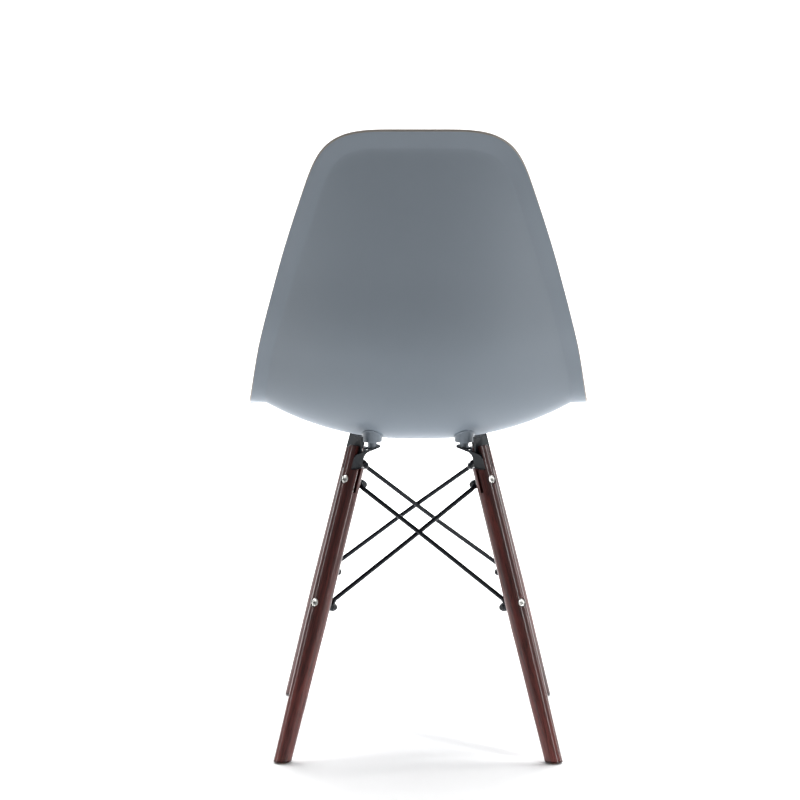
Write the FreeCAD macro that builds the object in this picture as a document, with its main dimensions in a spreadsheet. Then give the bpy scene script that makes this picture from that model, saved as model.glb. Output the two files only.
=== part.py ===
import FreeCAD, Part
import math
import os

import Sketcher

Vector = FreeCAD.Vector
Rotation = FreeCAD.Rotation
Placement = FreeCAD.Placement

# Moulded shell chair on four splayed dowel legs, in millimetres.
# The chair faces -Y and stands on Z = 0. The origin is on the floor, under the middle of the chair.
# Each corner of the base is drawn at angle 0, outward along +X, and then turned about the base's centre.

SIZES = [
    # name, value, what it is
    ("leg_lean", 19.3, "lean of a leg towards the centre, degrees"),
    ("leg_length", 424.0, "floor to leg top, along the leg's axis"),
    ("leg_radius", 13.5, "dowel, above the taper"),
    ("foot_radius", 11.2, "dowel, at the foot"),
    ("taper_below_bolt", 34.0, "start of the taper below the lower bolt"),
    ("leg_top_chamfer", 1.2, "edge break on the leg top"),
    ("upper_bolt_below_top", 46.0, "upper bolt, along the axis"),
    ("lower_bolt_below_top", 212.0, "lower bolt, along the axis"),
    ("bolt_radius", 3.0, "M6 shank"),
    ("hole_clearance", 0.3, "around a shank in wood and steel"),
    ("head_radius", 6.0, "bolt head"),
    ("head_height", 3.0, "bolt head"),
    ("head_bevel", 1.0, "broken edge of the bolt head"),
    ("head_recess", 1.8, "head face below the leg's surface"),
    ("head_clearance", 0.6, "counterbore around the head"),
    ("socket_flats", 4.0, "hex socket across flats"),
    ("socket_depth", 2.0, "hex socket of a leg bolt"),
    ("thread_clearance", 0.05, "between a shank and its nut or insert"),
    ("washer_lip", 0.25, "washer beyond the nut's corners"),
    ("washer_thickness", 1.2, "washer under a nut"),
    ("nut_flats", 10.0, "cap nut across flats"),
    ("nut_hex_height", 5.5, "cap nut, hexagonal part"),
    ("nut_height", 10.0, "cap nut, over the dome"),
    ("nut_grip", 6.5, "bolt length inside the cap nut"),
    ("nut_room", 0.5, "cap nut's bore beyond the bolt's end"),
    ("rod_radius", 3.0, "brace rod"),
    ("rod_clearance", 0.4, "washer to the rod's round part"),
    ("eyelet_thickness", 2.6, "flattened rod end"),
    ("eyelet_wall", 2.3, "flattened rod end, around the bolt's hole"),
    ("upper_run", 4.1, "rod's round part, straight up to the bend at the upper bolt"),
    ("lower_run", 3.9, "rod's round part, straight up to the bend at the lower bolt"),
    ("lower_tail_turn", 22.0, "rod's lower end away from the leg's line, degrees"),
    ("rod_bend_radius", 6.0, "bend beside the leg, on the rod's axis"),
    ("rod_bow_less", 0.2, "bow of crossing rods, each, short of a rod's radius"),
    ("kerf_offset", 1.5, "saw slot's middle, outward of the leg's axis"),
    ("blade_thickness", 4.0, "bracket blade"),
    ("blade_width", 13.6, "bracket blade"),
    ("blade_below_bolt", 15.0, "blade end below the upper bolt"),
    ("blade_clearance", 0.1, "each side of the blade in the saw slot"),
    ("stub_lean", 2.0, "lean of the blade above the leg, degrees"),
    ("stub_above_arm", 16.5, "top of the blade above the arm"),
    ("cheek_depth", 24.5, "arm down to the lower edge of the cheeks"),
    ("cheek_outer", 11.5, "cheek edge outward of the leg's axis"),
    ("cheek_inner", 7.0, "cheek edge inward of the leg's axis"),
    ("cheek_thickness", 3.0, "bracket cheek"),
    ("cheek_corner_radius", 9.0, "outer top corner of the cheeks"),
    ("tongue_width", 8.0, "wood left between the cheeks"),
    ("tongue_clearance", 0.1, "each side of the tongue"),
    ("arm_below_leg_top", 2.7, "arm at the mount screw, below the leg top's middle"),
    ("arm_rise", 10.0, "rise of the arm towards the centre, degrees"),
    ("arm_sheet", 2.6, "arm thickness"),
    ("arm_nose", 11.0, "arm past the mount screw"),
    ("arm_nose_radius", 5.0, "corners of the arm's nose"),
    ("slot_width", 9.0, "slot in the arm"),
    ("slot_start", 6.0, "slot, from the mount screw towards the leg"),
    ("slot_end", 13.0, "slot, from the mount screw towards the leg"),
    ("arm_bend_radius", 12.0, "inner bend between cheeks and arm"),
    ("leg_beyond_mount", 25.3, "leg axis beyond the mount screw, at the arm"),
    ("mount_spacing", 121.4, "between neighbouring mount screws"),
    ("spacer_radius", 6.0, "mount spacer"),
    ("spacer_height", 7.0, "mount spacer, on its axis"),
    ("boss_radius", 13.0, "boss under the seat"),
    ("insert_wall", 1.15, "threaded insert"),
    ("insert_length", 7.5, "threaded insert"),
    ("insert_room", 0.8, "hole beyond the insert"),
    ("screw_end_room", 0.5, "screw end short of the hole's end"),
    ("screw_head_radius", 5.0, "mount screw"),
    ("screw_head_height", 2.0, "mount screw"),
    ("screw_socket_depth", 1.3, "hex socket of a mount screw"),
    ("spot_clearance", 0.3, "spot face around the mount screw's head"),
    ("glide_radius", 6.0, "foot glide"),
    ("glide_height", 2.0, "foot glide"),
    ("pin_radius", 1.5, "glide pin"),
    ("pin_length", 12.0, "glide pin"),
    ("pin_clearance", 0.05, "glide pin in the foot"),
    ("shell_width", 462.0, "widest part of the seat"),
    ("shell_depth", 527.0, "front edge to top edge, level"),
    ("seat_above_boss", 14.5, "front edge's underside above the boss faces"),
    ("back_rise", 400.0, "front edge to top edge, upright"),
    ("shell_front", 352.0, "front edge ahead of the base's centre"),
    ("rim_overhang", 5.45, "rear rim's reach past the ribs, less the front's, halved"),
    ("shell_wall", 5.0, "shell thickness"),
    ("rim_band", 26.0, "width of the rolled rim"),
]

doc = FreeCAD.newDocument("shell_chair")
sheet = doc.addObject("Spreadsheet::Sheet", "Sizes")
for row, (alias, number, meaning) in enumerate(SIZES, start=1):
    sheet.set(f"A{row}", alias)
    sheet.set(f"B{row}", str(number))
    sheet.setAlias(f"B{row}", alias)
    sheet.set(f"C{row}", meaning)
doc.recompute()


def size(expression):
    """The number that an expression in the sheet's names gives."""
    return float(sheet.evalExpression(expression))


LEAN = "Sizes.leg_lean"
RISE = "Sizes.arm_rise"
BASE = "(Sizes.shell_front - Sizes.shell_depth / 2 - Sizes.rim_overhang)"
MOUNT = "(Sizes.mount_spacing / sqrt(2))"
ARM_TOP = f"(cos({LEAN}) * Sizes.leg_length - Sizes.arm_below_leg_top)"
BOSS_FACE = f"({ARM_TOP} + Sizes.spacer_height)"
SEAT_FRONT = f"({BOSS_FACE} + Sizes.seat_above_boss + Sizes.shell_wall)"
FOOT = f"({MOUNT} + Sizes.leg_beyond_mount + tan({LEAN}) * {ARM_TOP})"
UPPER_BOLT = "(Sizes.leg_length - Sizes.upper_bolt_below_top)"
LOWER_BOLT = "(Sizes.leg_length - Sizes.lower_bolt_below_top)"
CHEEK_BOTTOM = f"({ARM_TOP} - Sizes.cheek_depth)"
HOLE = "(Sizes.bolt_radius + Sizes.hole_clearance)"
WASHER = "(Sizes.nut_flats / sqrt(3) + Sizes.washer_lip)"
UPPER_START = f"({WASHER} + Sizes.rod_clearance)"
# two rods meet at each lower bolt and stay clear of each other from here on
ROD_SPREAD = "sqrt(4 * Sizes.rod_radius ^ 2 - Sizes.eyelet_thickness ^ 2)"
LOWER_START = f"({ROD_SPREAD} / (2 * sin(Sizes.lower_tail_turn)) + Sizes.rod_clearance)"
INSERT = "(Sizes.bolt_radius + Sizes.thread_clearance + Sizes.insert_wall)"
HEAD_SEAT = "(Sizes.leg_radius - Sizes.head_recess - Sizes.head_height)"
NUT_SEAT = "(-Sizes.leg_radius - 2 * Sizes.eyelet_thickness - Sizes.washer_thickness)"
SPOT_RADIUS = "(Sizes.screw_head_radius + Sizes.spot_clearance)"
SCREW_SEAT = f"({ARM_TOP} - Sizes.arm_sheet / cos({RISE}) + {SPOT_RADIUS} * tan({RISE}))"

# The ribs of the shell, from the seat's front edge to the top of the back.
# Each is a share of the depth, a drop below the front edge in mm, a share of the back's rise,
# a share of the half width, then the lift of the sides and the flare of the rim in mm,
# and the tilt of the sides' lift from upright, in degrees.
RIBS = [
    (0.000, 0, 0.000, 0.848, 5, 7, -10),
    (0.099, -14, 0.000, 0.913, 8, 8, -2),
    (0.260, -10, 0.000, 0.970, 11, 9, 0),
    (0.440, 0, 0.000, 1.000, 18, 10, 4),
    (0.630, 11, 0.000, 0.978, 51, 12, 18),
    (0.803, 4, 0.000, 0.961, 78, 14, 50),
    (0.892, 0, 0.240, 0.905, 78, 14, 74),
    (0.934, 0, 0.540, 0.797, 53, 11, 81),
    (0.972, 0, 0.815, 0.697, 24, 8, 80),
    (1.000, 0, 1.000, 0.684, 12, 6, 78),
]
BOWL_POWER = 2.3
POLE_ALONG = 0.36
TOP_CORNER_POWER = 4.8
FRONT_CORNER_POWER = 4.0
RIM_DIVISIONS = 96
INNER_RINGS = 18
# rings across the rim's band, as shares of its width from the edge, closer together at the edge
BAND_RINGS = [1.0, 0.75, 0.5, 0.3, 0.15, 0.06, 0.0]
EDGE_TURNS = [30, 60, 90, 120, 150]
# how near the rim, as a share of a ray, its slope is taken, and steps for slopes elsewhere
NEAR_RIM = 0.98
ANGLE_STEP = 0.01
SURFACE_STEP = 0.004
# taller than any boss, before the shell trims it
BOSS_COLUMN = 40.0
# how near two edges count as one seam, and how near an edge's middle lies to the place that names it
SEAM = 0.001
NEARBY = 0.05
# radius of the slight bend in the middle of a rod, in lengths of its long run
GENTLE_BEND = 4.0


def smooth(values, along):
    """A value at a share of the way along the ribs: a cubic that runs smoothly through them all."""
    last = len(values) - 1
    place = min(max(along, 0.0), 1.0) * last
    index = min(int(place), last - 1)
    step = place - index
    here, after = values[index], values[index + 1]
    before = values[index - 1] if index > 0 else 2 * here - after
    beyond = values[index + 2] if index + 2 <= last else 2 * after - here
    return 0.5 * (
        2 * here
        + (after - before) * step
        + (2 * before - 5 * here + 4 * after - beyond) * step ** 2
        + (3 * here - before - 3 * after + beyond) * step ** 3
    )


class ShellForm:
    """The seat and back as one surface over a share across (0 middle, 1 side) and a share along."""

    def __init__(self):
        columns = list(zip(*RIBS))
        depth = size("shell_depth")
        front = size(f"{BASE} - Sizes.shell_front")
        height = size(SEAT_FRONT)
        rise = size("back_rise")
        self.back = [front + share * depth for share in columns[0]]
        self.up = [height - drop + share * rise for drop, share in zip(columns[1], columns[2])]
        self.half = [share * size("shell_width") / 2 for share in columns[3]]
        self.lift = columns[4]
        self.flare = columns[5]
        self.tilt = columns[6]
        self.wall = size("shell_wall")
        self.band = size("rim_band")

    def surface(self, across, along, edge_distance):
        """Sitter's side of the shell: the rib's middle, out sideways, lifted, flared near the rim."""
        tilt = math.radians(smooth(self.tilt, along))
        band_share = max(0.0, 1 - edge_distance / self.band)
        lift = smooth(self.lift, along) * abs(across) ** BOWL_POWER
        lift -= smooth(self.flare, along) * band_share ** 2
        return Vector(
            smooth(self.half, along) * across,
            smooth(self.back, along) - lift * math.sin(tilt),
            smooth(self.up, along) + lift * math.cos(tilt),
        )

    def rim(self, angle):
        """Rounded rectangle in shares: across and along at an angle, -90 front, 90 top."""
        side, way = math.cos(angle), math.sin(angle)
        power = TOP_CORNER_POWER if way >= 0 else FRONT_CORNER_POWER
        reach = (abs(side) ** power + abs(way) ** power) ** (-1 / power)
        span = 1 - POLE_ALONG if way >= 0 else POLE_ALONG
        return reach * side, POLE_ALONG + reach * way * span

    def rim_point(self, angle):
        across, along = self.rim(angle)
        return self.surface(across, along, self.band)

    def edge_distance(self, angle, share):
        """Distance from the rim, measured square to it, of a point on the ray at an angle."""
        edge = self.rim_point(angle)
        across, along = self.rim(angle)
        near = POLE_ALONG + (along - POLE_ALONG) * NEAR_RIM
        inner = self.surface(across * NEAR_RIM, near, self.band)
        tangent = self.rim_point(angle + ANGLE_STEP) - self.rim_point(angle - ANGLE_STEP)
        tangent.normalize()
        ray = edge - inner
        square = ray - tangent * ray.dot(tangent)
        return (1 - share) * square.Length / (1 - NEAR_RIM)

    def point(self, angle, share):
        across, along = self.rim(angle)
        return self.surface(
            across * share,
            POLE_ALONG + (along - POLE_ALONG) * share,
            self.edge_distance(angle, share),
        )

    def normal(self, angle, share):
        """Unit normal towards the sitter, from two neighbouring steps on the surface."""
        step = SURFACE_STEP
        share = max(share, step)
        low = max(share - step, step / 2)
        high = min(share + step, 1.0)
        ray = self.point(angle, high) - self.point(angle, low)
        round_rim = self.point(angle + step, share) - self.point(angle - step, share)
        normal = ray.cross(round_rim)
        normal.normalize()
        return normal


def shell_line(form, angle):
    """Places along one ray: out over the sitter's side, round the rim's edge, and back under."""
    reach = form.edge_distance(angle, 0)
    inside = 1 - form.band / reach
    shares = [inside * ring / INNER_RINGS for ring in range(INNER_RINGS)]
    shares += [1 - distance * form.band / reach for distance in BAND_RINGS]
    inner = [form.point(angle, share) for share in shares]
    outer = [form.point(0, 0) - form.normal(0, 0) * form.wall]
    for share, place in list(zip(shares, inner))[1:]:
        outer.append(place - form.normal(angle, share) * form.wall)
    middle = (inner[-1] + outer[-1]) * 0.5
    up = (inner[-1] - outer[-1]) * 0.5
    out = inner[-1] - inner[-2]
    out = out - up * (out.dot(up) / up.dot(up))
    out.normalize()
    edge = []
    for turn in EDGE_TURNS:
        turned = math.radians(turn)
        edge.append(middle + up * math.cos(turned) + out * (math.sin(turned) * up.Length))
    return inner + edge + outer[::-1]


def closed_surface(lines):
    """One surface through lines that fan out from a pole: periodic around, from pole to pole."""
    turns = [float(turn) for turn in range(len(lines) + 1)]
    rings = list(zip(*lines))
    round_poles = []
    for ring in rings[1:-1]:
        curve = Part.BSplineCurve()
        curve.interpolate(Points=list(ring), PeriodicFlag=True, Parameters=turns)
        round_poles.append(curve.getPoles())
    round_knots, round_repeats = curve.getKnots(), curve.getMultiplicities()
    first, last = [[ring[0]] * curve.NbPoles for ring in (rings[0], rings[-1])]
    round_poles = [first] + round_poles + [last]
    steps = [0.0]
    for near, far in zip(rings, rings[1:]):
        gaps = [start.distanceToPoint(end) for start, end in zip(near, far)]
        steps.append(steps[-1] + sum(gaps) / len(gaps))
    poles = []
    for line in zip(*round_poles):
        curve = Part.BSplineCurve()
        curve.interpolate(Points=list(line), Parameters=steps)
        poles.append(curve.getPoles())
    surface = Part.BSplineSurface()
    surface.buildFromPolesMultsKnots(
        poles, round_repeats, curve.getMultiplicities(), round_knots, curve.getKnots(),
        True, False, 3, 3)
    return surface


def shell_solid(form):
    """The shell's skin, cut into quarters and into sitter's side, edge and underside."""
    angles = [2 * math.pi * turn / RIM_DIVISIONS - math.pi / 2 for turn in range(RIM_DIVISIONS)]
    surface = closed_surface([shell_line(form, angle) for angle in angles])
    round_knots, over_knots = surface.getUKnots(), surface.getVKnots()
    edge_start = INNER_RINGS + len(BAND_RINGS) - 1
    edge_end = edge_start + len(EDGE_TURNS) + 1
    quarters = round_knots[::RIM_DIVISIONS // 4]
    bands = [over_knots[index] for index in (0, edge_start, edge_end, -1)]
    faces = [
        surface.toShape(start, end, near, far)
        for start, end in zip(quarters, quarters[1:])
        for near, far in zip(bands, bands[1:])
    ]
    skin = Part.makeCompound(faces)
    skin.sewShape(SEAM)
    solid = Part.Solid(skin.Shells[0])
    if solid.Volume < 0:
        solid.reverse()
    return solid


CORNERS = [("rear_left", 45), ("rear_right", 135), ("front_right", 225), ("front_left", 315)]


def corner_placement(angle):
    """Turns what is drawn at angle 0 to a corner of the base."""
    turn = Placement(Vector(0, 0, 0), Rotation(Vector(0, 0, 1), angle))
    return Placement(Vector(0, size(BASE), 0), Rotation()) * turn


def mount_placement(angle, height="0"):
    """On a mount screw's axis, at a height."""
    place = Vector(size(MOUNT), 0, size(height))
    return corner_placement(angle) * Placement(place, Rotation())


def seat_shell():
    """The shell, with a boss at each mount screw that runs up to the underside, drilled for its insert."""
    form = ShellForm()
    shell = shell_solid(form)
    solid = shell
    for _, angle in CORNERS:
        column = Part.makeCylinder(size("boss_radius"), BOSS_COLUMN)
        column.Placement = mount_placement(angle, BOSS_FACE)
        below = min(column.cut(shell).Solids, key=lambda piece: piece.CenterOfMass.z)
        solid = solid.fuse(below)
    for _, angle in CORNERS:
        bore = Part.makeCylinder(size(INSERT), size("insert_length + insert_room"))
        bore.Placement = mount_placement(angle, BOSS_FACE)
        solid = solid.cut(bore)
    node = doc.addObject("Part::Feature", "seat_shell")
    node.Label = "seat_shell"
    node.Shape = solid.Solids[0] if len(solid.Solids) == 1 else solid
    return node


def on_leg(along, outward):
    """Expressions for a place along a leg's axis and square outward from it, in the XZ plane."""
    return (
        f"{FOOT} - sin({LEAN}) * ({along}) + cos({LEAN}) * ({outward})",
        f"cos({LEAN}) * ({along}) + sin({LEAN}) * ({outward})",
    )


def at_height(height, outward):
    """Expressions for a place at a height, a distance square outward from the leg's axis."""
    return (
        f"{FOOT} - tan({LEAN}) * ({height}) + ({outward}) / cos({LEAN})",
        f"{height}",
    )


def on_arm(beyond, below):
    """Expressions for a place past the mount screw along the arm, and square below its top face."""
    return (
        f"{MOUNT} - cos({RISE}) * ({beyond}) - sin({RISE}) * ({below})",
        f"{ARM_TOP} + sin({RISE}) * ({beyond}) - cos({RISE}) * ({below})",
    )


def arm_meets(outward, below):
    """A height: where a line along the leg meets the arm's top face, or a plane below that face."""
    drop = f"({below}) / cos({RISE}) + (Sizes.leg_beyond_mount + ({outward}) / cos({LEAN})) * tan({RISE})"
    return f"({ARM_TOP} - ({drop}) / (1 - tan({LEAN}) * tan({RISE})))"


def new_body(name):
    body = doc.addObject("PartDesign::Body", name)
    body.Label = name
    return body


def origin_plane(body, role):
    return next(item for item in body.Origin.OriginFeatures if item.Role == role)


def new_sketch(body, name, role, offset=None):
    sketch = body.newObject("Sketcher::SketchObject", name)
    sketch.AttachmentSupport = [(origin_plane(body, role), "")]
    sketch.MapMode = "FlatFace"
    if offset is not None:
        sketch.setExpression("AttachmentOffset.Base.z", offset)
    return sketch


def pin_point(sketch, geometry, end, place):
    """Ties one point of a sketch to two expressions."""
    for kind, expression in zip(("DistanceX", "DistanceY"), place):
        number = size(expression)
        index = sketch.addConstraint(Sketcher.Constraint(kind, -1, 1, geometry, end, number))
        sketch.setExpression(f"Constraints[{index}]", expression)


def outline(body, name, role, places, offset=None):
    """A closed sketch of straight edges through places given as expressions."""
    sketch = new_sketch(body, name, role, offset)
    spots = [Vector(size(x), size(y), 0) for x, y in places]
    for start, end in zip(spots, spots[1:] + spots[:1]):
        sketch.addGeometry(Part.LineSegment(start, end))
    count = len(places)
    for index, place in enumerate(places):
        sketch.addConstraint(Sketcher.Constraint("Coincident", index, 2, (index + 1) % count, 1))
        pin_point(sketch, index, 1, place)
    return sketch


def circle(body, name, role, place, radius, offset=None):
    sketch = new_sketch(body, name, role, offset)
    centre = Vector(size(place[0]), size(place[1]), 0)
    sketch.addGeometry(Part.Circle(centre, Vector(0, 0, 1), size(radius)))
    pin_point(sketch, 0, 3, place)
    index = sketch.addConstraint(Sketcher.Constraint("Radius", 0, size(radius)))
    sketch.setExpression(f"Constraints[{index}]", radius)
    return sketch


def turned(body, name, sketch, start, end, cut=False):
    """Turns a sketch about the line between two places: a solid, or a cut."""
    line = Part.LineSegment(
        Vector(size(start[0]), size(start[1]), 0), Vector(size(end[0]), size(end[1]), 0))
    axis = sketch.addGeometry(line, True)
    pin_point(sketch, axis, 1, start)
    pin_point(sketch, axis, 2, end)
    kind = "PartDesign::Groove" if cut else "PartDesign::Revolution"
    feature = body.newObject(kind, name)
    feature.Profile = sketch
    feature.ReferenceAxis = (sketch, ["Axis0"])
    feature.Angle = 360
    return feature


def both_ways(body, name, sketch, width, cut=False):
    """Pads or pockets a sketch evenly to both sides of its plane."""
    feature = body.newObject("PartDesign::Pocket" if cut else "PartDesign::Pad", name)
    feature.Profile = sketch
    feature.Midplane = True
    feature.setExpression("Length", width)
    return feature


def one_way(body, name, sketch, depth, reverse, cut=True):
    feature = body.newObject("PartDesign::Pocket" if cut else "PartDesign::Pad", name)
    feature.Profile = sketch
    feature.Reversed = reverse
    feature.setExpression("Length", depth)
    return feature


def bolt_drilling(body, name, along, head_end, nut_end, counterbore=True):
    """A stepped hole square across the leg: shank hole, and the counterbore for the head."""
    shank = HOLE
    seat = HEAD_SEAT
    wide = "Sizes.head_radius + Sizes.head_clearance"
    if counterbore:
        places = [
            on_leg(along, nut_end),
            on_leg(f"{along} + {shank}", nut_end),
            on_leg(f"{along} + {shank}", seat),
            on_leg(f"{along} + {wide}", seat),
            on_leg(f"{along} + {wide}", head_end),
            on_leg(along, head_end),
        ]
    else:
        places = [
            on_leg(along, nut_end),
            on_leg(f"{along} + {shank}", nut_end),
            on_leg(f"{along} + {shank}", head_end),
            on_leg(along, head_end),
        ]
    sketch = outline(body, f"{name}_section", "XZ_Plane", places)
    return turned(body, name, sketch, on_leg(along, nut_end), on_leg(along, head_end), cut=True)


def leg(corner, angle):
    """A turned dowel: tapered, sawn for the blade, flattened for the cheeks, drilled, foot cut level."""
    body = new_body(f"leg_{corner}")
    top = "Sizes.leg_length"
    bottom = "-Sizes.foot_radius"
    chamfer = "Sizes.leg_top_chamfer"
    profile = outline(body, f"dowel_{corner}", "XZ_Plane", [
        on_leg(bottom, "0"),
        on_leg(bottom, "Sizes.foot_radius"),
        on_leg(f"{LOWER_BOLT} - Sizes.taper_below_bolt", "Sizes.leg_radius"),
        on_leg(f"{top} - {chamfer}", "Sizes.leg_radius"),
        on_leg(top, f"Sizes.leg_radius - {chamfer}"),
        on_leg(top, "0"),
    ])
    turned(body, f"turning_{corner}", profile, on_leg(bottom, "0"), on_leg(top, "0"))
    wide = "2 * Sizes.leg_radius"
    floor_cut = outline(body, f"foot_line_{corner}", "XZ_Plane", [
        (f"{FOOT} - {wide}", f"-{wide}"),
        (f"{FOOT} + {wide}", f"-{wide}"),
        (f"{FOOT} + {wide}", "Sizes.glide_height"),
        (f"{FOOT} - {wide}", "Sizes.glide_height"),
    ])
    both_ways(body, f"foot_cut_{corner}", floor_cut, f"2 * {wide}", cut=True)
    slot_half = "(Sizes.blade_thickness / 2 + Sizes.blade_clearance)"
    slot_floor = f"{UPPER_BOLT} - Sizes.blade_below_bolt - Sizes.blade_clearance"
    slot = outline(body, f"slot_{corner}", "XZ_Plane", [
        on_leg(slot_floor, f"Sizes.kerf_offset - {slot_half}"),
        on_leg(slot_floor, f"Sizes.kerf_offset + {slot_half}"),
        on_leg(f"{top} + {chamfer}", f"Sizes.kerf_offset + {slot_half}"),
        on_leg(f"{top} + {chamfer}", f"Sizes.kerf_offset - {slot_half}"),
    ])
    both_ways(body, f"saw_slot_{corner}", slot, wide, cut=True)
    above = f"{ARM_TOP} + Sizes.leg_radius"
    flat = [
        at_height(CHEEK_BOTTOM, f"-{wide}"),
        at_height(CHEEK_BOTTOM, "Sizes.cheek_outer"),
        at_height(above, "Sizes.cheek_outer"),
        at_height(above, f"-{wide}"),
    ]
    tongue = "Sizes.tongue_width / 2"
    for side, offset, reverse in (("near", f"-({tongue})", False), ("far", tongue, True)):
        face = outline(body, f"{side}_flat_{corner}", "XZ_Plane", flat, offset)
        one_way(body, f"{side}_milling_{corner}", face, "Sizes.leg_radius", reverse)
    end = outline(body, f"inner_flat_{corner}", "XZ_Plane", [
        at_height(CHEEK_BOTTOM, f"-{wide}"),
        at_height(CHEEK_BOTTOM, "-Sizes.cheek_inner"),
        at_height(above, "-Sizes.cheek_inner"),
        at_height(above, f"-{wide}"),
    ])
    both_ways(body, f"inner_milling_{corner}", end, wide, cut=True)
    for level, along in (("upper", UPPER_BOLT), ("lower", LOWER_BOLT)):
        bolt_drilling(body, f"{level}_bolt_hole_{corner}", along, wide, f"-{wide}")
    pin = circle(
        body, f"pin_hole_{corner}", "XY_Plane",
        (f"{FOOT} - tan({LEAN}) * Sizes.glide_height", "0"),
        "Sizes.pin_radius + Sizes.pin_clearance")
    depth = "Sizes.glide_height + Sizes.pin_length + Sizes.pin_clearance"
    one_way(body, f"pin_drilling_{corner}", pin, depth, True)
    body.Placement = corner_placement(angle)
    return body


def leg_bracket(corner, angle):
    """Blade in the saw slot, two cheeks on the leg's flats, and a slotted arm under the mount screw."""
    body = new_body(f"leg_bracket_{corner}")
    outer = "Sizes.cheek_outer - Sizes.tongue_clearance"
    inner = "-Sizes.cheek_inner"
    outer_top = at_height(arm_meets(outer, "0"), outer)
    inner_bend = at_height(arm_meets(inner, "Sizes.arm_sheet"), inner)
    profile = outline(body, f"cheek_outline_{corner}", "XZ_Plane", [
        at_height(CHEEK_BOTTOM, outer),
        outer_top,
        on_arm("Sizes.arm_nose", "0"),
        on_arm("Sizes.arm_nose", "Sizes.arm_sheet"),
        inner_bend,
        at_height(CHEEK_BOTTOM, inner),
    ])
    cheek_span = "(Sizes.tongue_width + 2 * Sizes.cheek_thickness)"
    solid = both_ways(body, f"cheeks_{corner}", profile, cheek_span)
    nose = on_arm("Sizes.arm_nose", "Sizes.arm_sheet / 2")
    side = size(cheek_span) / 2
    solid = rounded(body, f"arm_bend_{corner}", solid, [(inner_bend, 0)], "Sizes.arm_bend_radius")
    solid = rounded(body, f"cheek_corner_{corner}", solid, [(outer_top, 0)], "Sizes.cheek_corner_radius")
    rounded(body, f"arm_nose_{corner}", solid, [(nose, side), (nose, -side)], "Sizes.arm_nose_radius")
    room = "Sizes.tongue_clearance"
    below = f"{CHEEK_BOTTOM} - Sizes.leg_radius"
    above = f"{ARM_TOP} + Sizes.leg_radius"
    tongue = outline(body, f"tongue_outline_{corner}", "XZ_Plane", [
        at_height(below, f"{inner} - {room}"),
        at_height(below, "2 * Sizes.leg_radius"),
        at_height(above, "2 * Sizes.leg_radius"),
        at_height(above, f"{inner} - {room}"),
    ])
    both_ways(body, f"tongue_room_{corner}", tongue, f"Sizes.tongue_width + 2 * {room}", cut=True)
    over_arm = f"{ARM_TOP} + Sizes.arm_nose"
    through = "2 * Sizes.arm_nose"
    slot = outline(body, f"slot_outline_{corner}", "XY_Plane", [
        (f"{MOUNT} + Sizes.slot_start", "-Sizes.slot_width / 2"),
        (f"{MOUNT} + Sizes.slot_end", "-Sizes.slot_width / 2"),
        (f"{MOUNT} + Sizes.slot_end", "Sizes.slot_width / 2"),
        (f"{MOUNT} + Sizes.slot_start", "Sizes.slot_width / 2"),
    ], over_arm)
    one_way(body, f"arm_slot_{corner}", slot, through, False)
    hole = circle(body, f"screw_hole_{corner}", "XY_Plane", (MOUNT, "0"), HOLE, over_arm)
    one_way(body, f"screw_drilling_{corner}", hole, through, False)
    spot = circle(body, f"spot_circle_{corner}", "XY_Plane", (MOUNT, "0"), SPOT_RADIUS, SCREW_SEAT)
    one_way(body, f"spot_face_{corner}", spot, "Sizes.arm_nose", False)
    half = "Sizes.blade_thickness / 2"
    bend_along = "Sizes.leg_length + Sizes.leg_top_chamfer"
    low = f"{UPPER_BOLT} - Sizes.blade_below_bolt"
    knee = on_leg(bend_along, "Sizes.kerf_offset")
    top = f"{ARM_TOP} + Sizes.stub_above_arm"
    top_x = f"{knee[0]} - tan(Sizes.stub_lean) * ({top} - ({knee[1]}))"
    blade = outline(body, f"blade_outline_{corner}", "XZ_Plane", [
        on_leg(low, f"Sizes.kerf_offset - {half}"),
        on_leg(low, f"Sizes.kerf_offset + {half}"),
        on_leg(bend_along, f"Sizes.kerf_offset + {half}"),
        (f"{top_x} + {half}", top),
        (f"{top_x} - {half}", top),
        on_leg(bend_along, f"Sizes.kerf_offset - {half}"),
    ])
    both_ways(body, f"blade_{corner}", blade, "Sizes.blade_width")
    clear = "Sizes.blade_thickness"
    bolt_drilling(body, f"blade_hole_{corner}", UPPER_BOLT, f"Sizes.kerf_offset + {clear}",
                  f"Sizes.kerf_offset - {clear}", counterbore=False)
    body.Placement = corner_placement(angle)
    return body


def rounded(body, name, solid, edges, radius):
    """Fillets the edges whose middles lie at places in the XZ plane, each a distance to one side."""
    doc.recompute()
    names = [edge_name(solid.Shape, size(place[0]), side, size(place[1])) for place, side in edges]
    fillet = body.newObject("PartDesign::Fillet", name)
    fillet.Base = (solid, names)
    fillet.setExpression("Radius", radius)
    return fillet


def edge_name(shape, x, y, z):
    """The edge whose middle is at a place."""
    for number, edge in enumerate(shape.Edges, start=1):
        if edge.CenterOfMass.distanceToPoint(Vector(x, y, z)) < NEARBY:
            return f"Edge{number}"
    raise ValueError(f"no edge at {x:.2f}, {y:.2f}, {z:.2f}")


def bolt_placement(angle, along):
    """A frame on the leg's axis at a bolt: Z points outward along the bolt."""
    lean = math.radians(size("leg_lean"))
    distance = size(along)
    place = Vector(size(FOOT) - math.sin(lean) * distance, 0, math.cos(lean) * distance)
    tilt = Rotation(Vector(0, 1, 0), 90 - size("leg_lean"))
    return corner_placement(angle) * Placement(place, tilt)


def primitive(kind, name, lift, **sizes):
    """A Part primitive standing on Z at a height, its sizes tied to expressions."""
    item = doc.addObject(f"Part::{kind}", name)
    for attribute, expression in sizes.items():
        item.setExpression(attribute, expression)
    item.setExpression("Placement.Base.z", lift)
    return item


def joined(name, kind, base, tool):
    item = doc.addObject(f"Part::{kind}", name)
    item.Base = base
    item.Tool = tool
    return item


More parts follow.
